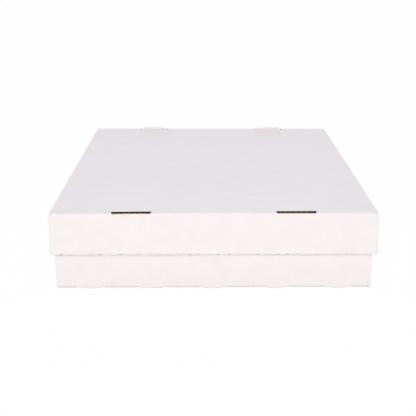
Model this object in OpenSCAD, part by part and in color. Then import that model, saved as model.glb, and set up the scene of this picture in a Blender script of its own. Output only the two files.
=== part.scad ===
// Storage box for rows of trading cards: a folded tray, a lift-off lid and loose row dividers,
// each die-cut from white-faced corrugated board and folded up without glue.
// Millimetres, +Z up, front towards -Y, origin under the middle of the tray.

/* [Board] */
// Thickness of the corrugated board
board = 2.5; // [2:0.1:4.5]
// Inside radius of every fold
fold_r = 0.5; // [0.3:0.1:1.2]
// Play between sheets that lie against each other
play = 0.2; // [0.1:0.05:0.4]

/* [Rows] */
// Number of card rows
row_count = 5; // [2:1:6]
// Clear width of one row
row_w = 72.5; // [66:0.5:90]
// Clear length of a row
row_l = 470; // [250:1:520]
// Clear height from the tray's floor to the underside of the lid
row_h = 96; // [92:0.5:115]

/* [Tray] */
// Width of the tabs that lock the tray's rolled end walls into its floor
tray_tab_w = 37; // [15:1:44]
// How far those tabs stop short of the tray's underside
tray_tab_recess = 0.5; // [0.1:0.1:2]
// Rise of the bowed edge of an end wall at each of the tray's slots
tray_edge_bow = 2; // [0.2:0.1:3]

/* [Lid] */
// Height of the lid, from its top face to its rolled rims
lid_h = 54; // [30:0.5:85]
// Clearance between the tray's walls and the lid's, all round
lid_gap = 1.7; // [0.5:0.1:3]
// Number of locking tabs on each end wall of the lid
lid_tab_count = 2; // [1:1:4]
// Width of the tabs that lock the lid's rolled end walls into its top panel
lid_tab_w = 45.4; // [20:0.1:60]
// How far the front tabs stop short of the lid's top face
front_tab_recess = 1.9; // [0.1:0.1:2.5]
// How far the rear tabs stand above the lid's top face
rear_tab_proud = 4; // [0:0.1:8]
// Rise of the bowed edge of an end wall at each of the lid's slots
lid_edge_bow = 0.2; // [0.1:0.1:3]
// How far that edge stops short of the lid's top face
lid_edge_recess = 0.6; // [0:0.1:1.5]

/* [Walls] */
// How far the raw edges of the side walls stop short of the rolled rims
side_drop = 1; // [0:0.1:3]
// Length of the corner flaps that lie inside the rolled end walls
flap_l = 64; // [30:1:66]
// Height of the slopes that lead a locking tab into its slot
slope_h = 4; // [0.5:0.1:6]
// Length of those slopes
slope_l = 7; // [1:0.5:12]
// How far a slot runs past its tab, at each end
slot_play = 1.5; // [0.2:0.1:3]

/* [Perforation] */
// Pitch of the cuts along the outer fold of a rolled rim
perf_pitch = 12; // [8:0.5:20]
// Length of each cut
perf_cut = 6; // [3:0.5:7]
// Width of each cut
perf_gap = 1.2; // [0.4:0.1:1.5]

/* [Dividers] */
// How far the row dividers stop below the lid
divider_drop = 7; // [1:0.5:30]
// Height of the tongues at a divider's ends
tongue_h = 56; // [20:1:70]

/* [Hidden] */
$fn = 48;
fold_out = board + fold_r;
sandwich = 3 * board + 2 * play;
divider_t = 2 * fold_out;
row_pitch = row_w + divider_t;
tray_w = row_count * row_pitch - divider_t + 2 * board;
tray_d = row_l + 2 * sandwich;
tray_h = board + row_h;
lid_w = tray_w + 2 * (lid_gap + board);
lid_d = tray_d + 2 * (lid_gap + sandwich);
divider_h = row_h - divider_drop;
tongue_l = sandwich - board - play;
white = "#f3f0ef";
divider_names = [for (i = [1 : row_count - 1]) str("row_divider_", i)];

// Width of the rolled part of an end wall, which fits between the side walls
function rolled_w(w) = w - 2 * fold_out;

// Centred row of copies along X
module along_x(count, pitch) {
  for (i = [0 : count - 1])
    translate([(i - (count - 1) / 2) * pitch, 0, 0]) children();
}

// Front and rear copies, each seen from the end wall's outer face; $rear tells them apart
module at_both_ends(d) {
  for ($rear = [0, 1])
    mirror([0, $rear, 0]) translate([0, -d / 2, 0]) children();
}

// Quarter turn of board round a fold, in section
module fold_section() {
  difference() {
    intersection() {
      circle(fold_out);
      square(fold_out);
    }
    circle(fold_r);
  }
}

// Rolled end wall in section: outer panel up from the fold, over the rim, inner panel down again
module rolled_section(h) {
  translate([fold_out, fold_out]) rotate(180) fold_section();
  translate([0, fold_out]) square([board, h - 2 * fold_out]);
  translate([fold_out, h - fold_out]) rotate(90) fold_section();
  translate([fold_out, h - board]) square([sandwich - 2 * fold_out, board]);
  translate([sandwich - fold_out, h - fold_out]) fold_section();
  translate([sandwich - board, board + play]) square([board, h - fold_out - board - play]);
}

// Raw end of an outer panel, rounded at its corners as the side folds are
module raw_end(h) {
  translate([0, fold_out]) square([fold_out, h - 2 * fold_out]);
  for (z = [fold_out, h - fold_out]) translate([0, z]) intersection() {
    circle(fold_out);
    translate([0, -fold_out]) square([fold_out, 2 * fold_out]);
  }
}

// Rolled end wall, with the raw ends of its outer panel running out over the side walls
module rolled_wall(w, h) {
  rotate([90, 0, 90]) linear_extrude(rolled_w(w), center = true) rolled_section(h);
  for (left = [0, 1]) mirror([left, 0, 0])
    translate([rolled_w(w) / 2, board, 0]) rotate([90, 0, 0]) linear_extrude(board) raw_end(h);
}

// Side wall on +X, folded up from the panel, with a corner flap at each end
module side_wall(w, d, h) {
  wall_l = d - 2 * (board + play);
  straight_l = wall_l - 2 * fold_out;
  flap_z = fold_out + play;
  fold_x = w / 2 - fold_out;
  rotate([90, 0, 0]) linear_extrude(wall_l, center = true)
    translate([fold_x, fold_out]) rotate(-90) fold_section();
  translate([w / 2 - board, -straight_l / 2, fold_out])
    cube([board, straight_l, h - side_drop - fold_out]);
  at_both_ends(wall_l) translate([0, 0, flap_z]) linear_extrude(h - board - play - flap_z) {
    translate([fold_x, fold_out]) rotate(-90) fold_section();
    translate([w / 2 - flap_l, 0]) square([flap_l - fold_out, board]);
  }
}

// Slot on the crease of an end wall, which takes a locking tab
module tab_slot(slot_w) {
  translate([-slot_w / 2, -board, -board]) {
    cube([slot_w, board + fold_out, board + fold_out]);
    cube([slot_w, board + sandwich + play, 2 * board + play / 2]);
  }
}

// Bowed edge of the outer panel at a slot, which runs straight on towards the panel's outer face
module slot_edge(slot_w, bow, recess) {
  half = slot_w / 2 - play;
  bow_r = (half * half + bow * bow) / (2 * bow);
  translate([0, board, 0]) rotate([90, 0, 0]) linear_extrude(board) intersection() {
    translate([-half, 0]) square([2 * half, fold_out + board]);
    translate([0, recess + bow_r]) circle(bow_r, $fn = 240);
  }
}

// Locking tab on the inner panel's free edge; reach is measured past the panel's outer face
module locking_tab(tab_w, reach) {
  root = board + play;
  rise = min(slope_h, (root + reach) * 0.6);
  half = tab_w / 2;
  translate([0, sandwich, 0]) rotate([90, 0, 0]) linear_extrude(board) polygon([
    [-half, root + board],
    [half, root + board],
    [half, rise - reach],
    [half - slope_l, -reach],
    [slope_l - half, -reach],
    [-half, rise - reach]
  ]);
}

// One perforation cut through the outer fold of a rolled rim
module perforation(h) {
  translate([-perf_cut / 2, fold_out, h - fold_out]) rotate([45, 0, 0])
    translate([0, -perf_gap / 2, 0]) cube([perf_cut, perf_gap, fold_out + board]);
}

// Open box folded from one blank: panel down, two rolled end walls, two side walls
module folded_box(w, d, h, tab_count, tab_pitch, tab_w, tab_reach, edge_bow, edge_recess) {
  slot_w = tab_w + 2 * slot_play;
  difference() {
    union() {
      translate([fold_out - w / 2, fold_out - d / 2, 0])
        cube([w - 2 * fold_out, d - 2 * fold_out, board]);
      at_both_ends(d) rolled_wall(w, h);
      for (left = [0, 1]) mirror([left, 0, 0]) side_wall(w, d, h);
    }
    at_both_ends(d) {
      along_x(tab_count, tab_pitch) tab_slot(slot_w);
      along_x(floor(rolled_w(w) / perf_pitch), perf_pitch) perforation(h);
    }
  }
  at_both_ends(d) along_x(tab_count, tab_pitch) {
    slot_edge(slot_w, edge_bow, edge_recess);
    locking_tab(tab_w, tab_reach[$rear]);
  }
}

// Slots in the inner panels of the tray's end walls, open at the floor, one for each divider
module divider_slots() {
  slot_w = divider_t + 2 * play;
  at_both_ends(tray_d) along_x(row_count - 1, row_pitch)
    translate([-slot_w / 2, sandwich - board - play, board + play / 2])
      cube([slot_w, board + 2 * play, tongue_h + play / 2]);
}

module tray() {
  tab_pitch = rolled_w(tray_w) / row_count;
  reach = -tray_tab_recess;
  color(white) difference() {
    folded_box(tray_w, tray_d, tray_h, row_count, tab_pitch, tray_tab_w, [reach, reach], tray_edge_bow, 0);
    divider_slots();
  }
}

module lid() {
  tab_pitch = lid_w / lid_tab_count;
  reach = [-front_tab_recess, rear_tab_proud];
  color(white) translate([0, 0, tray_h + board]) mirror([0, 0, 1])
    folded_box(
      lid_w, lid_d, lid_h, lid_tab_count, tab_pitch, lid_tab_w, reach, lid_edge_bow, lid_edge_recess
    );
}

// Divider in section: one strip folded in half over its top edge
module divider_section() {
  leg_h = divider_h - fold_out;
  for (side = [0, 1]) mirror([side, 0]) {
    translate([fold_r, 0]) square([board, leg_h]);
    translate([0, leg_h]) fold_section();
  }
}

// Divider on the tray's floor, with its end tongues through the slots of the inner panels
module row_divider(index) {
  x = (index - row_count / 2) * row_pitch;
  end_l = tongue_l + play;
  color(white) translate([x, 0, board]) difference() {
    rotate([90, 0, 0]) linear_extrude(row_l + 2 * tongue_l, center = true) divider_section();
    at_both_ends(row_l + 2 * tongue_l)
      translate([-divider_t, -board, tongue_h]) cube([2 * divider_t, board + end_l, divider_h]);
  }
}

tray();
lid();
for (i = [1 : row_count - 1])
  row_divider(i);
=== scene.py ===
"""Looks of a trading card storage box: its blanks are die-cut flat, folded up, finished and lit.

Lengths are metres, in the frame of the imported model. Each sheet is corrugated board made as the real one
is, from an outer liner, a fluted medium and an inner liner, which are cut together and folded together.
"""

import math
import random

import bmesh
import bpy
from bpy.props import FloatProperty, FloatVectorProperty, IntProperty, PointerProperty
from mathutils import Matrix, Vector


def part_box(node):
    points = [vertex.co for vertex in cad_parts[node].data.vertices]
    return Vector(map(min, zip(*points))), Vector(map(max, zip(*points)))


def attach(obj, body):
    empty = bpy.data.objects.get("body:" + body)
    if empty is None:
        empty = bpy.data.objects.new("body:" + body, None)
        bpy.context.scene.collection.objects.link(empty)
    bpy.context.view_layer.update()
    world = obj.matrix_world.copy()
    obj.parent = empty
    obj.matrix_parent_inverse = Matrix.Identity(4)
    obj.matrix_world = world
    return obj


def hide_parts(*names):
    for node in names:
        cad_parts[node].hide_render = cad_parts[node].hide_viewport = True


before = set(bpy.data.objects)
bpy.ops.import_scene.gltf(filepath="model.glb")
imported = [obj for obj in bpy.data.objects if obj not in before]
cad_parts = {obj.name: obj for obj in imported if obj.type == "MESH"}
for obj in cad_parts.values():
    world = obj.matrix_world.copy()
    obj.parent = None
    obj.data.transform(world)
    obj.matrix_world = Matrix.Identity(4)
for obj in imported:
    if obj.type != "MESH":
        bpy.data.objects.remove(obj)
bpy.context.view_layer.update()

bl_info = {
    "name": "Card Storage Box",
    "version": (1, 0, 0),
    "blender": (4, 5, 0),
    "location": "3D View > Sidebar > Card Box",
    "description": "Die-cuts and folds the boards of a card storage box, and sets it on a white stage",
    "category": "Add Mesh",
}

TRAY_LOW, TRAY_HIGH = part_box("tray")
LID_LOW, LID_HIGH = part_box("lid")
DIVIDERS = sorted(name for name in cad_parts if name.startswith("row_divider_"))

QUARTER = math.pi / 2
# A length and a share that are too small to matter
HAIR = 1e-6
CLOSE = 1e-3

# Layers of the board, and its finishes in the order of the material slots
OUTER, FLUTING, INNER = "outer liner", "fluting", "inner liner"
WHITE_FACE, KRAFT_FACE, FLUTING_FACE, RAW_FACE = range(4)

# Where lines run round a fold, as shares of its arc, and the two lines between which a rim's slits lie
FOLD_STEPS = (0.0, 0.08, 0.22, 0.38, 0.52, 0.66, 0.8, 0.92, 1.0)
SLIT_STEPS = (FOLD_STEPS[3], FOLD_STEPS[5])
# Where lines run beside a cut, as shares of the strip that it presses thin
PRESS_STEPS = (0.3, 0.65, 1.0)
# Where lines run on the outer and inner panels of an end wall, as shares of its height
OUTER_PANEL_STEPS = (0.3, 0.5, 0.7)
INNER_PANEL_STEPS = (0.25, 0.5, 0.75)
# Lines from the middle of a slot to each of its ends, closer together at the ends
SLOT_PARTS = 9

# How far a rim's slit strays along the rim, and how far across the fold, as a share of its arc
SLIT_STRAY = 0.0006
SLIT_SHIFT = 0.05
# Least opening of a slit, and the opening at its tips, as shares of the widest one
SLIT_LEAST = 0.15
SLIT_TIP = 0.08
# Which uneven rows of slits the tray and the lid have
TRAY_SEED, LID_SEED = 3, 8

# How much harder raw ends are pressed than other cuts
RAW_PRESS = 1.5
# The most that the slopes take of a tab's length
SLOPE_SHARE = 0.6
# Painted shade on the white face of the tabs, which darkens them as the light that falls off towards the
# rear would
TAB_PAINTED_SHADE = 0.1

# Lamps: name, the settings of power and tint, place, size
LAMPS = (
    ("front_lamp", "front_power", "front_tint", (0.0, -2.75, 1.25), (2.8, 1.6)),
    ("top_lamp", "top_power", "sky_tint", (0.0, 0.0, 2.4), (2.0, 2.0)),
    ("left_lamp", "side_power", "sky_tint", (-2.4, 0.2, 1.3), (2.0, 1.4)),
    ("right_lamp", "side_power", "sky_tint", (2.4, 0.2, 1.3), (2.0, 1.4)),
    ("rear_lamp", "rear_power", "sky_tint", (0.0, 2.6, 1.3), (2.0, 1.4)),
)
FLOOR_RADIUS = 30.0
FLOOR_SEGMENTS = 96


def setting(kind, **fixed):
    """A kind of value that the user may change, as a function of name, description and default."""

    def named(name, description, default, **limits):
        return kind(name=name, description=description, default=default, **fixed, **limits)

    return named


length = setting(FloatProperty, precision=5, unit="LENGTH", subtype="DISTANCE")
angle_of = setting(FloatProperty, subtype="ANGLE")
power_of = setting(FloatProperty, min=0.0, unit="POWER")
share_of = setting(FloatProperty, min=0.0, subtype="FACTOR")
count_of = setting(IntProperty)
colour = setting(FloatVectorProperty, min=0.0, max=1.0, subtype="COLOR")


class BoardSettings(bpy.types.PropertyGroup):
    """The corrugated board that every piece is cut from."""

    thickness: length("Thickness", "Thickness of the board", 0.0025)
    liner: length("Liner", "Thickness of each liner", 0.00035)
    medium: length("Medium", "Thickness of the fluted medium", 0.00025)
    flute_pitch: length("Flute pitch", "Distance from one flute to the next", 0.0063)
    flute_steps: count_of("Flute steps", "Facets in one flute", 8, min=4)
    fold_radius: length("Fold radius", "Inside radius of every fold", 0.0005)
    pressed: length("Pressed strip", "Width of the strip that a cut presses thin", 0.0013)
    press: share_of("Press", "How much of its thickness the board loses at a cut", 0.3, max=0.6)
    play: length("Play", "Play between sheets that lie against each other", 0.0002)


class WallSettings(bpy.types.PropertyGroup):
    """What the walls of the tray and of the lid have in common."""

    side_drop: length("Side drop", "How far side walls stop short of the rims", 0.001)
    flap: length("Corner flap", "Length of the flaps inside the rolled walls", 0.064)
    slope_height: length("Slope height", "Height of the slopes on a tab", 0.004)
    slope: length("Slope", "Length of the slopes on a tab", 0.007)
    slot_play: length("Slot play", "How far a slot runs past its tab", 0.0015)
    slit_pitch: length("Slit pitch", "Pitch of the cuts along a rim's fold", 0.012)
    slit: length("Slit", "Length of each cut", 0.006)
    scallop: length("Scallop", "Swelling of the fold under each cut", 0.00025)
    raw_trim: length("Raw trim", "How far an outer panel's raw ends stop short of its folds", 0.0009)
    rim_corner: length("Rim corner", "Rounding of those ends at the rim", 0.0012)
    wall_bow: length("Wall bow", "Outward bow of the rolled walls", 0.0004)


class TraySettings(bpy.types.PropertyGroup):
    """The lower box."""

    tab: length("Tab", "Width of the tabs that lock the end walls", 0.037)
    tab_recess: length("Tab recess", "How far tabs stop short of the floor", 0.0005)
    edge_bow: length("Edge bow", "Rise of the bowed wall edge at a slot", 0.002)
    edge_recess: length("Edge recess", "How far that edge stays in", 0.0002)
    crease_sink: length("Crease sink", "How far the end creases sink between slots", 0.0007)
    stretch: length("Stretch", "Length over which a slot's ends are drawn out", 0.006)
    tongue: length("Tongue slot", "Height of the slots for the dividers", 0.056)


class LidSettings(bpy.types.PropertyGroup):
    """The lift-off lid."""

    tab_count: count_of("Tabs", "Tabs on each end wall", 2, min=1)
    tab: length("Tab", "Width of the tabs that lock the end walls", 0.0454)
    tab_recess: length("Front recess", "How far front tabs stay below the top", 0.0019)
    edge_bow: length("Edge bow", "Rise of the bowed wall edge at a slot", 0.0002)
    edge_recess: length("Edge recess", "How far that edge stays in", 0.0006)
    crease_sink: length("Crease sink", "How far the end creases sink between slots", 0.0)
    stretch: length("Stretch", "Length over which a slot's ends are drawn out", 0.0008)
    sag: length("Sag", "How far the middle of the top panel sinks", 0.0008)
    droop: length("Droop", "How far the front corners of the top hang", 0.0009)
    droop_left: length("Left droop", "Length over which the left corner hangs", 0.12)
    droop_right: length("Right droop", "Length over which the right corner hangs", 0.06)
    twist: length("Twist", "How far the top hangs at its rear right corner and rises at its left", 0.0006)
    flare: length("Flare", "How far the side walls stand out at their free edges", 0.0018)
    lean: angle_of("Lean", "How far the rear tabs lean back", math.radians(24.0))


class FinishSettings(bpy.types.PropertyGroup):
    """Colours of the board."""

    white: colour("White", "Coated face of the outer liner", (0.865, 0.82, 0.822))
    worn: colour("Worn white", "Coating where a fold has strained it", (0.74, 0.68, 0.64))
    kraft: colour("Kraft", "Plain face of the liners", (0.47, 0.29, 0.155))
    fibre: colour("Fibre", "Darker fibres in the kraft", (0.30, 0.165, 0.08))
    # The medium's own brown, darkened further with painted shade for the slots
    medium: colour("Medium", "Fluted medium", (0.18, 0.068, 0.026))
    # The cut fibres' own brown, darkened with painted shade of the flutes and of the slots
    raw: colour("Raw edge", "Cut edges of the board", (0.092, 0.024, 0.0075))
    # Also the colour of the painted shade on the tabs
    scuffed_and_shaded: colour("Scuffed", "White face along the cut edges at slots", (0.42, 0.35, 0.31))


class StageSettings(bpy.types.PropertyGroup):
    """Camera, lamps and floor."""

    lens: FloatProperty(
        name="Lens", description="Focal length", default=74.66, unit="CAMERA"
    )
    camera: FloatVectorProperty(
        name="Camera",
        description="Where the camera stands",
        default=(-0.01086, -1.24508, 0.40801),
        subtype="TRANSLATION",
        unit="LENGTH",
    )
    pitch: angle_of("Pitch", "How far the camera looks down", math.radians(16.855))
    yaw: angle_of("Yaw", "How far the camera looks to the right", math.radians(0.217))
    roll: angle_of("Roll", "How far the camera tips to the left", math.radians(-0.088))
    front_power: power_of("Front lamp", "Soft lamp behind the camera", 44.0)
    top_power: power_of("Top lamp", "Soft lamp overhead", 14.1)
    side_power: power_of("Side lamps", "Soft lamps left and right", 8.0)
    rear_power: power_of("Rear lamp", "Soft lamp behind the box", 5.0)
    ambient: share_of("Ambient", "Even light from all round", 0.4, max=1.0)
    front_tint: colour("Front tint", "Colour of the front lamp", (1.0, 0.985, 0.98))
    sky_tint: colour("Sky tint", "Colour of the other lamps", (0.89, 0.92, 1.0))
    floor: colour("Floor", "Floor as the light meets it", (0.96, 0.96, 0.96))
    clearness: share_of("Clearness", "Share of plain white in the floor the camera sees", 0.97, max=1.0)


def fold(distance, creases, radius, depth):
    """Section point of a sheet that turns a quarter at each crease: how far along, and how far up."""

    def up_from(angle):
        return Vector((-math.sin(angle), math.cos(angle)))

    def on_from(angle):
        return Vector((math.cos(angle), math.sin(angle)))

    point, angle, done = Vector((0.0, 0.0)), 0.0, 0.0
    for crease in creases:
        if distance <= crease:
            break
        point += (crease - done) * on_from(angle)
        done = min(distance, crease + radius)
        turned = angle + QUARTER * (done - crease) / radius
        point += radius * (up_from(angle) - up_from(turned))
        angle = turned
    return point + (distance - done) * on_from(angle) + depth * up_from(angle)


def ease(share):
    """Smooth rise from 0 to 1."""
    share = min(max(share, 0.0), 1.0)
    return share * share * (3 - 2 * share)


def within(distance, starts, span):
    """Whether a distance falls inside one of the spans, and how far through it, from 0 to 1."""
    for start in starts:
        if start + HAIR < distance < start + span - HAIR:
            return (distance - start) / span
    return 0.0


def evenly(half, parts):
    """Lines between -half and half that cut each half into so many equal parts."""
    return [half * number / parts for number in range(1 - parts, parts)]


def lines(values):
    """Sorted values with near doubles left out."""
    kept = []
    for value in sorted(values):
        if not kept or value - kept[-1] > 2 * HAIR:
            kept.append(value)
    return kept


class Blank:
    """A sheet of board that is die-cut flat and then folded.

    u and v are places on the flat sheet, and depth is measured from its white face inwards. Each kind of
    blank says where its lines run (columns, rows), what is left when it is cut (in_outline, kept), how far
    the folds strain it (strain), and where a point goes when it is folded (place).
    """

    flutes_along_u = False

    def __init__(self, board):
        self.board = board
        self.bend = board.thickness + board.fold_radius
        # Distance of the lines beside a fold that keep it crisp
        self.support = 3 * board.play

    def waves(self, low, high):
        """Lines that follow the flutes from low to high."""
        step = self.board.flute_pitch / self.board.flute_steps
        first, last = math.ceil(low / step), math.floor(high / step)
        return [low, high] + [number * step for number in range(first, last + 1)]

    def sheet(self, layer):
        """One layer of the board, cut to shape and still flat."""
        columns, rows = lines(self.columns(layer)), lines(self.rows(layer))
        bm = bmesh.new()
        bmesh.ops.create_grid(
            bm, x_segments=len(columns) - 1, y_segments=len(rows) - 1, size=0.5
        )
        for vert in bm.verts:
            column = round((vert.co.x + 0.5) * (len(columns) - 1))
            row = round((vert.co.y + 0.5) * (len(rows) - 1))
            vert.co = columns[column], rows[row], 0.0
        self.drop(bm, self.in_outline)
        self.score(bm, layer)
        self.drop(bm, lambda u, v: self.kept(u, v, layer))
        self.slope(bm)
        self.trim(bm)
        return bm

    @staticmethod
    def drop(bm, kept):
        """Cuts away every face whose middle isn't kept."""
        waste = [face for face in bm.faces if not kept(*face.calc_center_median().xy)]
        bmesh.ops.delete(bm, geom=waste, context="FACES")

    @staticmethod
    def cut(bm, inside, places, normal, clear=False):
        """Splits the faces inside an area along a line through each place, or clears what is beyond it."""
        faces = [face for face in bm.faces if inside(*face.calc_center_median().xy)]
        edges = {edge for face in faces for edge in face.edges}
        verts = {vert for face in faces for vert in face.verts}
        geom = [*verts, *edges, *faces]
        for place in places:
            done = bmesh.ops.bisect_plane(
                bm, geom=geom, dist=HAIR, plane_co=place, plane_no=normal, clear_outer=clear
            )
            geom = done["geom"]

    def folded_layer(self, layer):
        """One layer of the board, given its thickness, its faces and its folds."""
        board = self.board
        bm = self.sheet(layer)
        thickness = board.medium if layer == FLUTING else board.liner
        bmesh.ops.solidify(bm, geom=bm.faces[:], thickness=thickness)
        bmesh.ops.recalc_face_normals(bm, faces=bm.faces[:])
        for face in bm.faces:
            face.smooth = True
            face.material_index = self.side(layer, face.normal.z)
        for edge in bm.edges:
            if edge.is_manifold and edge.calc_face_angle() > QUARTER / 2:
                edge.smooth = False
        lowest = min(vert.co.z for vert in bm.verts)
        base = {
            OUTER: 0.0,
            FLUTING: (board.thickness - board.medium) / 2,
            INNER: board.thickness - board.liner,
        }[layer]
        swing = (board.thickness - board.medium) / 2 - board.liner
        flat = bm.verts.layers.float_vector.new("flat")
        strain = bm.verts.layers.float.new("strain")
        # Scuffs along the slots, and painted shade on the tabs
        scuff = bm.verts.layers.float.new("scuff")
        for vert in bm.verts:
            u, v, depth = vert.co.x, vert.co.y, vert.co.z - lowest + base
            if layer == FLUTING:
                across = v if self.flutes_along_u else u
                depth += swing * math.sin(across / board.flute_pitch * math.tau)
            vert[flat] = u, v, depth
            vert[strain] = self.strain(u, v)
            vert[scuff] = self.scuff(u, v)
            vert.co = self.place(u, v, depth)
        return bm

    @staticmethod
    def side(layer, facing):
        """Which finish a face of a layer has, by how it faces while the sheet is flat."""
        if abs(facing) < 0.5:
            return RAW_FACE
        if layer == FLUTING:
            return FLUTING_FACE
        return WHITE_FACE if layer == OUTER and facing < 0 else KRAFT_FACE

    def thinned(self, depth, gap, share=1.0):
        """Depth of a point so far from a cut edge, along which the cut has pressed the board thin."""
        middle = self.board.thickness / 2
        press = self.board.press * share * ease(1 - max(gap, 0.0) / self.board.pressed)
        return middle + (depth - middle) * (1 - press)

    def build(self, name, finishes):
        """The folded piece as an object."""
        mesh = bpy.data.meshes.new(name)
        whole = bmesh.new()
        for layer in (OUTER, FLUTING, INNER):
            bm = self.folded_layer(layer)
            bm.to_mesh(mesh)
            bm.free()
            whole.from_mesh(mesh)
        self.settle(whole)
        whole.to_mesh(mesh)
        whole.free()
        for finish in finishes:
            mesh.materials.append(finish)
        piece = bpy.data.objects.new(name, mesh)
        bpy.context.scene.collection.objects.link(piece)
        return piece

    def score(self, bm, layer):
        """Adds the lines that only part of the sheet needs."""

    def slope(self, bm):
        """Cuts corners off at a slant."""

    def trim(self, bm):
        """Moves the cut edges that aren't straight."""

    def scuff(self, u, v):
        """How far the white face is rubbed at a cut edge, and how far painted shade darkens it on the
        tabs.
        """
        return 0.0

    def settle(self, bm):
        """Puts the folded piece in its place."""


class BoxBlank(Blank):
    """Blank of an open box: a panel, end walls that roll over double, side walls with corner flaps.

    It is folded with the panel's white face at height 0 and the walls up, round the middle of the panel.
    """

    def __init__(self, board, walls, box, width, depth, height, tab_places, reach, seed):
        super().__init__(board)
        self.walls, self.box = walls, box
        self.height = height
        self.tab = box.tab
        self.slot = box.tab + 2 * walls.slot_play
        self.tab_places = tab_places
        bend, thick, play = self.bend, board.thickness, board.play
        self.sandwich = 3 * thick + 2 * play
        self.half_u = width / 2 - bend
        self.half_v = depth / 2 - bend
        self.half_wall = depth / 2 - thick - play - bend
        rim_fold = height - bend
        inner_fold = rim_fold + self.sandwich - bend
        self.creases = (0.0, rim_fold, inner_fold)
        self.panel_end = inner_fold + height - thick - play
        root = thick + play
        self.tab_end = {end: self.panel_end + root + reach[end] for end in reach}
        self.slope_height = {
            end: min(walls.slope_height, (root + reach[end]) * SLOPE_SHARE) for end in reach
        }
        self.slot_start = bend - self.sandwich - play
        # Width of the cut that frees a raw end from the folds
        self.nick = play / 4
        self.gaps = [board.pressed * share for share in PRESS_STEPS]
        self.side_end = height - walls.side_drop
        self.flap_low, self.flap_high = bend + play, height - thick - play
        self.divider_places = ()
        self.tongue = self.tongue_width = 0.0
        self.sag = 0.0
        self.slits = self.slit_row(random.Random(seed))

    def slit_row(self, chance):
        """Cuts along each rim's fold: middle, opening and shift, a little uneven as torn ones are."""
        pitch = self.walls.slit_pitch
        count = math.floor(2 * self.half_u / pitch)
        row = {}
        for end in (-1, 1):
            row[end] = [
                (
                    (number - (count - 1) / 2) * pitch + chance.uniform(-SLIT_STRAY, SLIT_STRAY),
                    SLIT_LEAST + (1 - SLIT_LEAST) * chance.random() ** 2,
                    chance.uniform(-SLIT_SHIFT, SLIT_SHIFT),
                )
                for number in range(count)
            ]
        return row

    def split(self, u, v):
        """Which end a point belongs to, and how far it lies past the side, end and flap creases."""
        end = -1 if v < 0 else 1
        return end, abs(u) - self.half_u, abs(v) - self.half_v, abs(v) - self.half_wall

    def near(self, u, places, width):
        """Whether u falls within a width round one of the places."""
        return any(abs(u - place) < width / 2 for place in places)

    def columns(self, layer):
        """Places across the sheet where lines run along all of it."""
        bend, support = self.bend, self.support
        half = [self.half_u, self.half_u + self.nick, self.half_u + bend]
        half += [self.half_u + p for p in (self.flap_low, self.flap_high, self.side_end)]
        half += [self.half_u + self.side_end - gap for gap in self.gaps]
        if layer == FLUTING:
            edge = self.half_u + self.side_end
            return [sign * u for u in half for sign in (-1, 1)] + self.waves(-edge, edge)
        half += [self.half_u + bend * step for step in FOLD_STEPS]
        half += [self.half_u - support, self.half_u + bend + support]
        return [sign * u for u in half for sign in (-1, 1)] + evenly(self.half_u, parts=5)

    def rows(self, layer):
        """Places along the sheet where lines run across all of it."""
        bend, support = self.bend, self.support
        rows = []
        for end in (-1, 1):
            tab_end = self.tab_end[end]
            past = [self.slot_start, self.panel_end - self.tongue, self.panel_end]
            past += [tab_end - self.slope_height[end], tab_end]
            past += [edge - gap for edge in (self.slot_start, tab_end) for gap in self.gaps]
            past += [crease + ahead for crease in self.creases for ahead in (0.0, bend)]
            past += [self.height * share for share in OUTER_PANEL_STEPS]
            past += [self.panel_end - self.height * share for share in INNER_PANEL_STEPS]
            flap = [0.0, bend, self.walls.flap]
            if layer != FLUTING:
                past += [crease + bend * step for crease in self.creases for step in FOLD_STEPS]
                past += [crease - support for crease in self.creases]
                past += [crease + bend + support for crease in self.creases]
                flap += [bend * step for step in FOLD_STEPS]
            rows += [end * (self.half_v + ahead) for ahead in past]
            rows += [end * (self.half_wall + ahead) for ahead in flap]
        return rows + evenly(self.half_v, parts=3)

    def in_outline(self, u, v):
        """Whether a point lies inside the blank's outer edge."""
        end, across, along, flap = self.split(u, v)
        if across < 0:
            return along < self.tab_end[end]
        if across < self.bend:
            return flap < self.bend or along < self.height
        if flap < 0:
            return across < self.side_end
        return self.flap_low < across < self.flap_high and flap < self.walls.flap

    def score(self, bm, layer):
        board, slot, tab, slope = self.board, self.slot / 2, self.tab / 2, self.walls.slope
        slot_steps = range(-SLOT_PARTS, SLOT_PARTS + 1)
        slot_lines = [slot * math.sin(QUARTER * step / SLOT_PARTS) for step in slot_steps]
        tab_lines = [way * edge for edge in (tab, tab - slope) for way in (-1, 1)]
        if layer == FLUTING:
            slot_lines = [slot_lines[0], slot_lines[-1]]
        else:
            tab_lines += evenly(tab - slope, parts=3)
        for end in (-1, 1):
            start = self.slot_start - board.pressed
            self.score_band(bm, end, start, self.bend, self.tab_places, slot_lines)
            self.score_band(bm, end, self.panel_end, self.tab_end[end], self.tab_places, tab_lines)
            if self.divider_places:
                low, side = self.panel_end - self.tongue, self.tongue_width / 2
                self.score_band(bm, end, low, self.panel_end, self.divider_places, (-side, side))
            if layer != FLUTING:
                rim, quarter = self.creases[1], self.walls.slit / 4
                middles = [middle for middle, *_ in self.slits[end]]
                steps = [step * quarter for step in range(-2, 3)]
                self.score_band(bm, end, rim, rim + self.bend, middles, steps)

    def score_band(self, bm, end, low, high, places, offsets):
        """Scores lines round each place, over the stretch of an end wall from low to high."""

        def in_band(u, v):
            which, across, along, _ = self.split(u, v)
            return which == end and across < 0 and low < along < high

        across = lines(p + o for p in places for o in offsets)
        self.cut(bm, in_band, [(u, 0, 0) for u in across], (1, 0, 0))

    def slope(self, bm):
        for end in (-1, 1):
            rise = self.slope_height[end]
            foot = end * (self.half_v + self.tab_end[end] - rise)
            for place in self.tab_places:
                for way in (-1, 1):
                    self.slope_tab(bm, end, place, way, foot, rise)

    def slope_tab(self, bm, end, place, way, foot, rise):
        """Cuts one end corner off a tab."""

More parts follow.
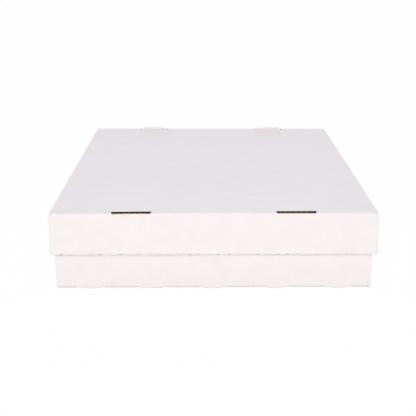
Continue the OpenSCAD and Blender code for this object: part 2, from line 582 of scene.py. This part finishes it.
        def in_corner(u, v):
            which, _, along, _ = self.split(u, v)
            return which == end and along > self.panel_end and 0 < way * (u - place) < self.tab / 2

        slant = Vector((way * rise, end * self.walls.slope, 0)).normalized()
        self.cut(bm, in_corner, [(place + way * self.tab / 2, foot, 0)], slant, clear=True)

    def kept(self, u, v, layer):
        """Whether a layer is left at a point when slots, slits and corners are cut, and folds crushed."""
        end, across, along, flap = self.split(u, v)
        folds = within(along, self.creases, self.bend)
        if across > 0:
            if across < self.bend and flap > self.bend:
                return across > self.nick or not folds
            crushed = across < self.bend or 0 < flap < self.bend
            return not (layer == FLUTING and crushed)
        if along > self.panel_end:
            return self.near(u, self.tab_places, self.tab)
        if along > self.panel_end - self.tongue:
            return not self.near(u, self.divider_places, self.tongue_width)
        if self.slot_start < along < self.bend:
            if self.near(u, self.tab_places, self.slot):
                return along > 0
        if layer == FLUTING:
            return not folds
        through = within(along, self.creases[1:2], self.bend)
        if SLIT_STEPS[0] < through < SLIT_STEPS[1]:
            return not any(abs(u - middle) < self.walls.slit / 2 for middle, *_ in self.slits[end])
        return True

    def trim(self, bm):
        for vert in bm.verts:
            u, v = vert.co.xy
            end, across, along, flap = self.split(u, v)
            if across > HAIR:
                if across < self.bend + HAIR and flap > self.bend - HAIR:
                    along = self.round_raw_end(across, along)
            else:
                along = self.open_slit(end, u, along)
            vert.co = u, end * (self.half_v + along), 0.0

    def round_raw_end(self, across, along):
        """Trims the outer panel's raw end short of the folds and rounds its corners, less at the rim."""

        def short(radius):
            past = max(across - self.bend + radius, 0.0)
            corner = radius - math.sqrt(max(radius * radius - past * past, 0.0))
            return max(corner, self.walls.raw_trim)

        bend, height = self.bend, self.height
        if along < bend:
            cut = short(bend)
            return cut + along * (bend - cut) / bend
        if along > height - bend:
            cut = short(self.walls.rim_corner)
            return height - cut - (height - along) * (bend - cut) / bend
        return along

    def open_slit(self, end, u, along):
        """Gives a cut along a rim's fold its pointed ends."""
        low, high = (self.creases[1] + step * self.bend for step in SLIT_STEPS)
        if low - HAIR < along < high + HAIR:
            for middle, opening, shift in self.slits[end]:
                share = abs(u - middle) / (self.walls.slit / 2)
                if share < 1 + CLOSE:
                    gap = max(SLIT_TIP, opening * (1 - share * share))
                    return (low + high) / 2 + (along - (low + high) / 2) * gap + shift * self.bend
        return along

    def strain(self, u, v):
        """How far a fold strains the sheet at a point, from 0 to 1."""
        _, across, along, flap = self.split(u, v)
        if across > 0:
            through = within(across if flap < self.bend else flap, (0.0,), self.bend)
        else:
            through = within(along, self.creases, self.bend)
        return math.sin(math.pi * through)

    def scuff(self, u, v):
        _, across, along, _ = self.split(u, v)
        rubbed = FOLD_STEPS[2] * self.bend
        if along > self.panel_end:
            # The tabs get painted shade here, for the light that falls off towards the rear, not rubbing
            return TAB_PAINTED_SHADE
        if across < 0 <= along + HAIR < rubbed and self.near(u, self.tab_places, self.slot):
            return 1 - max(along, 0.0) / rubbed
        return 0.0

    def sink(self, along, depth):
        """How far the white face sinks in at a scored crease of the panel."""
        through = within(along, self.creases[:1], self.bend)
        return self.box.crease_sink * math.sin(math.pi * through) * (1 - depth / self.board.thickness)

    def swell(self, end, u, along):
        """How far the fold of a rim swells out under its cuts."""
        through = within(along, self.creases[1:2], self.bend)
        phase = (u - self.slits[end][0][0]) / self.walls.slit_pitch
        return self.walls.scallop * math.sin(math.pi * through) * (1 + math.cos(math.tau * phase)) / 2

    def in_slot(self, u):
        """How far u is off the middle of its slot, and how free of the slot's ends, both from 0 to 1."""
        half = self.slot / 2
        for place in self.tab_places:
            off = abs(u - place)
            if off < half - HAIR:
                return off / half, ease((half - off) / self.box.stretch)
        return 1.0, 0.0

    def upright(self, u, along):
        """How far the outer panel's edge at a slot stands up instead of bending, and how high it is."""
        if not -HAIR < along < self.bend:
            return 0.0, 0.0
        off, free = self.in_slot(u)
        low = self.box.edge_recess + self.box.edge_bow * off * off
        return free, low + along * (self.bend - low) / self.bend

    def place(self, u, v, depth):
        """Where a point of the sheet is once the box is folded."""
        end, across, along, flap = self.split(u, v)
        side = -1 if u < 0 else 1
        bend = self.bend
        if across <= HAIR:
            belly = 1 - (u / self.half_u) ** 2
            share, height = self.upright(u, along)
            if along <= 0 and not share:
                if along < self.slot_start + HAIR:
                    depth = self.thinned(depth, self.slot_start - along, self.in_slot(u)[1])
                return u, v, depth + self.sag * belly * (1 - (v / self.half_v) ** 2)
            if along > self.panel_end:
                depth = self.thinned(depth, self.tab_end[end] - along)
            depth += self.sink(along, depth) * (1 - share) - self.swell(end, u, along)
            point = fold(along, self.creases, bend, depth)
            out, up = point.lerp(Vector((bend - depth, height)), share)
            height = min(max(up / self.height, 0.0), 1.0)
            out += self.walls.wall_bow * belly * math.sin(math.pi * height)
            return u, end * (self.half_v + out), up
        if across <= bend + HAIR and flap > bend + HAIR:
            depth = self.thinned(depth, bend - across, RAW_PRESS)
            return u, end * (self.half_v + bend - depth), along
        if flap <= 0:
            depth = self.thinned(depth, self.side_end - across)
        out, up = fold(across, (0.0,), bend, depth)
        wall = self.half_u + self.flare(up)
        if flap <= 0 or across <= bend + HAIR:
            return side * (wall + out), v, up
        ahead, inwards = fold(flap, (0.0,), bend, depth)
        return side * (wall + bend - inwards), end * (self.half_wall + ahead), across

    def flare(self, up):
        """How far the side walls stand out at a height."""
        return 0.0


class TrayBlank(BoxBlank):
    """Blank of the lower box, with slots for the tongues of the dividers."""

    def __init__(self, board, walls, tray):
        size = TRAY_HIGH - TRAY_LOW
        rows = len(DIVIDERS) + 1
        pitch = (size.x - 2 * (board.thickness + board.fold_radius)) / rows
        places = [(number - (rows - 1) / 2) * pitch for number in range(rows)]
        reach = {-1: -tray.tab_recess, 1: -tray.tab_recess}
        super().__init__(board, walls, tray, *size, places, reach, TRAY_SEED)
        self.tongue = tray.tongue
        self.tongue_width = 2 * self.bend + 2 * board.play
        boxes = [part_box(name) for name in DIVIDERS]
        self.divider_places = [(low.x + high.x) / 2 for low, high in boxes]


class LidBlank(BoxBlank):
    """Blank of the lid, which is folded like the tray and put on upside down."""

    def __init__(self, board, walls, lid):
        size = LID_HIGH - LID_LOW
        self.top = TRAY_HIGH.z + board.thickness
        proud = LID_HIGH.z - self.top
        pitch = size.x / lid.tab_count
        places = [(number - (lid.tab_count - 1) / 2) * pitch for number in range(lid.tab_count)]
        height = self.top - LID_LOW.z
        reach = {-1: -lid.tab_recess, 1: proud}
        super().__init__(board, walls, lid, size.x, size.y, height, places, reach, LID_SEED)
        self.sag = lid.sag

    def place(self, u, v, depth):
        x, y, z = super().place(u, v, depth)
        end, across, along, flap = self.split(u, v)
        base = self.tab_end[end] - (LID_HIGH.z - self.top)
        if end > 0 and across < 0 and along > base + HAIR:
            pivot = Vector((self.half_v + self.bend - self.sandwich, 0.0))
            y, z = pivot + Matrix.Rotation(self.box.lean, 2) @ (Vector((y, z)) - pivot)
        hang = self.hang(x, y)
        if hang > 0:
            raw_end = across > HAIR and flap > self.bend + HAIR
            standing = 1.0 if raw_end else ease(along / self.bend)
            hang *= 1 - (1 - standing) * depth / self.board.thickness
        return x, y, z + hang * (1 - z / self.height)

    def hang(self, x, y):
        """How far a point of the top hangs with the front corners, and with the twist of the rear."""
        span = self.box.droop_left if x < 0 else self.box.droop_right
        inset = self.half_u - abs(x)
        front = self.box.droop * ease(1 - inset / span) * ease(-y / self.half_v)
        return front + self.box.twist * x / self.half_u * ease(y / self.half_v)

    def flare(self, up):
        return self.box.flare * (up / self.height) ** 2

    def settle(self, bm):
        bmesh.ops.scale(bm, vec=(1, 1, -1), verts=bm.verts[:])
        bmesh.ops.translate(bm, vec=(0, 0, self.top), verts=bm.verts[:])
        bmesh.ops.recalc_face_normals(bm, faces=bm.faces[:])


class DividerBlank(Blank):
    """Strip folded in half over its top edge, with a tongue at each end; u runs over the fold."""

    flutes_along_u = True

    def __init__(self, board, tongue, low, high):
        super().__init__(board)
        self.low, self.high = low, high
        size = high - low
        self.half_v = size.y / 2
        self.leg = size.z - self.bend
        self.girth = 2 * (self.leg + self.bend)
        self.tongue = tongue
        rows_end = (TRAY_HIGH.y - TRAY_LOW.y) / 2 - 3 * board.thickness - 2 * board.play
        self.notch = rows_end - board.play

    def columns(self, layer):
        folds = (self.leg, self.leg + self.bend)
        ends = [0.0, self.tongue, self.girth - self.tongue, self.girth]
        steps = [crease + self.bend * step for crease in folds for step in FOLD_STEPS]
        return ends + steps + [self.leg - self.support, self.girth - self.leg + self.support]

    def rows(self, layer):
        ends = [sign * v for v in (self.half_v, self.notch) for sign in (-1, 1)]
        if layer == FLUTING:
            return ends + self.waves(-self.half_v, self.half_v)
        return ends + evenly(self.notch, parts=6)

    def in_outline(self, u, v):
        return abs(v) < self.notch or not self.tongue < u < self.girth - self.tongue

    def kept(self, u, v, layer):
        crushed = self.leg < u < self.girth - self.leg
        return not (layer == FLUTING and crushed)

    def strain(self, u, v):
        return math.sin(math.pi * within(u, (self.leg,), 2 * self.bend))

    def place(self, u, v, depth):
        up, across = fold(u, (self.leg, self.leg + self.bend), self.bend, depth)
        middle = (self.low + self.high) / 2
        return middle.x + self.bend - across, middle.y + v, self.low.z + up


class Shade:
    """A socket of a material's nodes that can be reckoned with like a number."""

    def __init__(self, nodes, socket):
        self.nodes = nodes
        self.socket = socket

    def math(self, operation, first, second=0.0):
        """Adds a Math node."""
        return self.nodes.node(
            "ShaderNodeMath", {"operation": operation}, {0: first, 1: second}
        )

    def __add__(self, other):
        return self.math("ADD", self, other)

    __radd__ = __add__

    def __rsub__(self, other):
        return self.math("SUBTRACT", other, self)

    def __mul__(self, other):
        return self.math("MULTIPLY", self, other)

    __rmul__ = __mul__

    def sine(self):
        """Sine of an angle in radians."""
        return self.math("SINE", self)

    def over(self, start, full):
        """Rises from 0 to 1 as the value goes from start to full."""
        return self.nodes.node(
            "ShaderNodeMapRange",
            {"interpolation_type": "SMOOTHSTEP"},
            {"Value": self, "From Min": start, "From Max": full},
        )


class Nodes:
    """Adds nodes to a node tree and feeds their sockets."""

    def __init__(self, tree):
        self.tree = tree

    def node(self, kind, settings=None, inputs=None, output=0):
        """Adds a node, sets it up, feeds its sockets, and gives back one of its outputs."""
        made = self.tree.nodes.new(kind)
        for name, value in (settings or {}).items():
            setattr(made, name, value)
        for name, value in (inputs or {}).items():
            self.feed(made.inputs[name], value)
        return Shade(self, made.outputs[output])

    def feed(self, socket, value):
        """Links a socket to a shade, or sets it to a plain value."""
        if isinstance(value, Shade):
            self.tree.links.new(value.socket, socket)
        else:
            socket.default_value = value


class Finish(Nodes):
    """A procedural material whose patterns follow the flat sheet."""

    def __init__(self, name):
        self.material = bpy.data.materials.new(name)
        self.material.use_nodes = True
        super().__init__(self.material.node_tree)
        self.shader = self.tree.nodes["Principled BSDF"]

    def attribute(self, name, output="Fac"):
        """What the piece's mesh says at each point."""
        return self.node("ShaderNodeAttribute", {"attribute_name": name}, output=output)

    def surface(self, **inputs):
        """Feeds the shader: underscores stand for the blanks in its sockets' names."""
        for name, value in inputs.items():
            self.feed(self.shader.inputs[name.replace("_", " ")], value)

    def noise(self, place, scale, stretch=(1.0, 1.0, 1.0), detail=3.0, roughness=0.55):
        """Noise with so many waves to the metre, drawn out along an axis by a stretch below 1."""
        drawn = self.node(
            "ShaderNodeVectorMath", {"operation": "MULTIPLY"}, {0: place, 1: stretch}
        )
        return self.node(
            "ShaderNodeTexNoise",
            inputs={"Vector": drawn, "Scale": scale, "Detail": detail, "Roughness": roughness},
        )

    def mix(self, share, first, second):
        """Colour between two colours."""
        return self.node(
            "ShaderNodeMix",
            {"data_type": "RGBA"},
            {"Factor": share, 6: first, 7: second},
            output=2,
        )

    def bump(self, height, distance, strength, normal=None):
        """Normal of a surface with so deep a relief, laid over another one's where given."""
        feeds = {"Height": height, "Distance": distance, "Strength": strength}
        if normal:
            feeds["Normal"] = normal
        return self.node("ShaderNodeBump", inputs=feeds)


def rgba(values, lighten=1.0):
    """A colour with full alpha, lightened or darkened."""
    return tuple(min(1.0, value * lighten) for value in values) + (1.0,)


def white_finish(board, look):
    """White coated face: clouded coat, short fibres, faint flute lines that are partly painted shade, wear
    along folds and slots, and painted shade on the tabs.
    """
    finish = Finish("white_liner")
    place = finish.attribute("flat", "Vector")
    u = finish.node("ShaderNodeSeparateXYZ", inputs={0: place})
    cloud_share, fibre_share, flute_tone_and_shade_share = 0.5, 0.4, 0.08
    speck_share, rub_share, scuff_and_shade_share = 0.25, 0.35, 0.5
    cloud = finish.noise(place, scale=45.0)
    fibre = finish.noise(place, scale=900.0, stretch=(1.0, 0.3, 1.0))
    speck = finish.noise(place, scale=2100.0, detail=1.0).over(start=0.70, full=0.78)
    flutes = (u * (math.tau / board.flute_pitch)).sine()
    strain = finish.attribute("strain")
    tone = cloud.over(start=0.3, full=0.7) * cloud_share
    # Faint lines along the flutes: the liner's own tone over the glued flute tips, and painted shade of
    # the washboard between them
    tone = tone + fibre.over(start=0.25, full=0.75) * fibre_share + flutes * flute_tone_and_shade_share
    coat = finish.mix(tone, rgba(look.white, lighten=0.975), rgba(look.white, lighten=1.02))
    coat = finish.mix(speck * speck_share, coat, rgba(look.worn, lighten=0.85))
    patches = finish.noise(place, scale=420.0, stretch=(1.0, 0.35, 1.0))
    rubbed = strain * patches.over(start=0.4, full=0.75)
    coat = finish.mix(rubbed * rub_share, coat, rgba(look.worn))
    # Scuffs along the slots, and painted shade on the tabs
    scuffed_and_shaded = finish.attribute("scuff") * (1 - scuff_and_shade_share + fibre * scuff_and_shade_share)
    coat = finish.mix(scuffed_and_shaded, coat, rgba(look.scuffed_and_shaded))
    wash = finish.bump(flutes, distance=0.00004, strength=0.6)
    grain = finish.bump(fibre, distance=0.00006, strength=0.35, normal=wash)
    finish.surface(
        Base_Color=coat,
        Roughness=0.5 + cloud * 0.12 + strain * 0.1,
        Normal=grain,
        Specular_IOR_Level=0.3,
    )


def kraft_finish(look):
    """Plain brown face: long fibres along the sheet, knots and pale flecks."""
    finish = Finish("kraft_liner")
    place = finish.attribute("flat", "Vector")
    cloud_share, fleck_share, knot_share = 0.45, 0.5, 0.6
    cloud = finish.noise(place, scale=38.0).over(start=0.3, full=0.7)
    fibre = finish.noise(place, scale=760.0, stretch=(1.0, 0.18, 1.0), detail=5.0)
    grain = finish.noise(place, scale=1500.0, stretch=(1.0, 0.4, 1.0), detail=1.0)
    fleck = grain.over(start=0.68, full=0.78)
    knot = (1 - grain).over(start=0.68, full=0.78)
    tone = finish.mix(fibre.over(start=0.3, full=0.72), rgba(look.fibre), rgba(look.kraft))
    tone = finish.mix(cloud * cloud_share, tone, rgba(look.kraft, lighten=1.08))
    tone = finish.mix(fleck * fleck_share, tone, rgba(look.kraft, lighten=1.5))
    tone = finish.mix(knot * knot_share, tone, rgba(look.fibre, lighten=0.6))
    finish.surface(
        Base_Color=tone,
        Roughness=0.72 + fibre * 0.16,
        Normal=finish.bump(fibre, distance=0.0001, strength=0.4),
        Specular_IOR_Level=0.25,
    )


def fibre_finish(name, tint, lighten, rough, relief, gloss, **pattern):
    """Bare brown board: the medium between the liners, or the loose fibre ends of a cut edge, both
    darkened with painted shade.
    """
    finish = Finish(name)
    fibre = finish.noise(finish.attribute("flat", "Vector"), **pattern)
    dark, light = (rgba(tint, share) for share in lighten)
    finish.surface(
        Base_Color=finish.mix(fibre.over(start=0.3, full=0.7), dark, light),
        Roughness=rough[0] + fibre * rough[1],
        Normal=finish.bump(fibre, distance=0.0001, strength=relief),
        Specular_IOR_Level=gloss,
    )


def board_finishes(scene):
    """The finishes in the order of their faces; made once, then shared by all the pieces."""
    names = ("white_liner", "kraft_liner", "fluted_medium", "raw_edge")
    if not all(name in bpy.data.materials for name in names):
        look = scene.card_box_finish
        white_finish(scene.card_box_board, look)
        kraft_finish(look)
        # Fluted medium: its own brown, darkened further with painted shade for the slots
        fibre_finish(
            "fluted_medium",
            look.medium,
            lighten=(0.7, 1.1),
            rough=(0.8, 0.12),
            relief=0.5,
            gloss=0.2,
            scale=820.0,
            stretch=(1.0, 0.25, 1.0),
            detail=5.0,
        )
        # Cut edges: their own brown, darkened with painted shade of the flutes and of the slots
        fibre_finish(
            "raw_edge",
            look.raw,
            lighten=(0.7, 1.35),
            rough=(0.86, 0.1),
            relief=0.6,
            gloss=0.06,
            scale=1600.0,
            detail=4.0,
        )
    return [bpy.data.materials[name] for name in names]


class CARDBOX_OT_fold_tray(bpy.types.Operator):
    """Die-cut and fold the tray"""

    bl_idname = "card_box.fold_tray"
    bl_label = "Fold Tray"

    def execute(self, context):
        scene = context.scene
        blank = TrayBlank(scene.card_box_board, scene.card_box_walls, scene.card_box_tray)
        piece = blank.build("tray_board", board_finishes(scene))
        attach(piece, "tray")
        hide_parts("tray")
        return {"FINISHED"}


class CARDBOX_OT_fold_lid(bpy.types.Operator):
    """Die-cut and fold the lid"""

    bl_idname = "card_box.fold_lid"
    bl_label = "Fold Lid"

    def execute(self, context):
        scene = context.scene
        blank = LidBlank(scene.card_box_board, scene.card_box_walls, scene.card_box_lid)
        piece = blank.build("lid_board", board_finishes(scene))
        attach(piece, "lid")
        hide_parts("lid")
        return {"FINISHED"}


class CARDBOX_OT_fold_dividers(bpy.types.Operator):
    """Die-cut and fold the row dividers"""

    bl_idname = "card_box.fold_dividers"
    bl_label = "Fold Row Dividers"

    def execute(self, context):
        scene = context.scene
        for name in DIVIDERS:
            blank = DividerBlank(scene.card_box_board, scene.card_box_tray.tongue, *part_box(name))
            piece = blank.build(name + "_board", board_finishes(scene))
            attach(piece, "tray")
            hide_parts(name)
        return {"FINISHED"}


class CARDBOX_OT_set_stage(bpy.types.Operator):
    """Set the floor, the lamps and the camera"""

    bl_idname = "card_box.set_stage"
    bl_label = "Set Stage"

    def execute(self, context):
        scene, stage = context.scene, context.scene.card_box_stage
        scene.view_settings.view_transform = "Standard"
        self.floor(scene, stage)
        self.surround(scene, stage)
        for name, power, tint, place, size in LAMPS:
            self.lamp(scene, name, getattr(stage, power), getattr(stage, tint), place, size)
        self.camera(scene, stage)
        return {"FINISHED"}

    def floor(self, scene, stage):
        """Wide plain floor under the box."""
        bm = bmesh.new()
        bmesh.ops.create_circle(bm, cap_ends=True, segments=FLOOR_SEGMENTS, radius=FLOOR_RADIUS)
        mesh = bpy.data.meshes.new("floor")
        bm.to_mesh(mesh)
        bm.free()
        floor = bpy.data.objects.new("floor", mesh)
        scene.collection.objects.link(floor)
        mesh.materials.append(self.floor_finish(stage))

    def floor_finish(self, stage):
        """Diffuse floor that the camera sees mostly as plain white, with the shadow left in."""
        finish = Finish("studio_floor")
        finish.surface(Base_Color=rgba(stage.floor), Roughness=1.0, Specular_IOR_Level=0.0)
        seen = self.seen(finish)
        glow = finish.node("ShaderNodeEmission", inputs={"Color": (1, 1, 1, 1), "Strength": 1.0})
        lit = Shade(finish, finish.shader.outputs[0])
        both = finish.node(
            "ShaderNodeMixShader", inputs={0: seen * stage.clearness, 1: lit, 2: glow}
        )
        finish.feed(finish.tree.nodes["Material Output"].inputs["Surface"], both)
        return finish.material

    @staticmethod
    def seen(nodes):
        """1 for rays from the camera, and for those that come by way of gloss or glass."""
        path = nodes.node("ShaderNodeLightPath")
        sockets = path.socket.node.outputs
        camera, gloss, glass = (
            Shade(nodes, sockets[name])
            for name in ("Is Camera Ray", "Is Glossy Ray", "Is Transmission Ray")
        )
        return (camera + gloss + glass).over(0.0, 1.0)

    def surround(self, scene, stage):
        """Even light all round, plain white where the camera sees it."""
        world = bpy.data.worlds.new("studio")
        world.use_nodes = True
        scene.world = world
        nodes = Nodes(world.node_tree)
        back = world.node_tree.nodes["Background"]
        back.inputs["Color"].default_value = (1, 1, 1, 1)
        strength = stage.ambient + self.seen(nodes) * (1.0 - stage.ambient)
        nodes.feed(back.inputs["Strength"], strength)

    @staticmethod
    def lamp(scene, name, power, tint, place, size):
        """Soft lamp that faces the middle of the box."""
        light = bpy.data.lights.new(name, "AREA")
        light.color = tint
        light.shape = "RECTANGLE"
        light.size, light.size_y = size
        light.energy = power
        lamp = bpy.data.objects.new(name, light)
        lamp.location = place
        lamp.rotation_euler = (-Vector(place)).to_track_quat("-Z", "Y").to_euler()
        scene.collection.objects.link(lamp)

    @staticmethod
    def camera(scene, stage):
        """Camera that looks down on the box from the front."""
        data = bpy.data.cameras.new("camera")
        data.lens = stage.lens
        camera = bpy.data.objects.new("camera", data)
        turn = Matrix.Rotation(-stage.yaw, 4, "Z")
        tilt = Matrix.Rotation(QUARTER - stage.pitch, 4, "X")
        tip = Matrix.Rotation(stage.roll, 4, "Z")
        camera.matrix_world = Matrix.Translation(stage.camera) @ turn @ tilt @ tip
        scene.collection.objects.link(camera)
        scene.camera = camera


OPERATORS = (
    CARDBOX_OT_fold_tray,
    CARDBOX_OT_fold_lid,
    CARDBOX_OT_fold_dividers,
    CARDBOX_OT_set_stage,
)


class CARDBOX_PT_panel(bpy.types.Panel):
    """Lists the steps that make the box"""

    bl_idname = "CARDBOX_PT_panel"
    bl_label = "Card Box"
    bl_space_type = "VIEW_3D"
    bl_region_type = "UI"
    bl_category = "Card Box"

    def draw(self, context):
        """One button for each step, in order."""
        for step in OPERATORS:
            self.layout.operator(step.bl_idname)


SETTINGS = {
    "card_box_board": BoardSettings,
    "card_box_walls": WallSettings,
    "card_box_tray": TraySettings,
    "card_box_lid": LidSettings,
    "card_box_finish": FinishSettings,
    "card_box_stage": StageSettings,
}
CLASSES = (*SETTINGS.values(), *OPERATORS, CARDBOX_PT_panel)


def register():
    """Makes the settings, the operators and the panel known to Blender."""
    for cls in CLASSES:
        bpy.utils.register_class(cls)
    for name, group in SETTINGS.items():
        setattr(bpy.types.Scene, name, PointerProperty(type=group))


def unregister():
    """Takes them back."""
    for name in SETTINGS:
        delattr(bpy.types.Scene, name)
    for cls in reversed(CLASSES):
        bpy.utils.unregister_class(cls)


def main():
    """Folds the pieces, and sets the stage."""
    register()
    bpy.ops.card_box.fold_tray()
    bpy.ops.card_box.fold_lid()
    bpy.ops.card_box.fold_dividers()
    bpy.ops.card_box.set_stage()


if __name__ == "__main__":
    main()
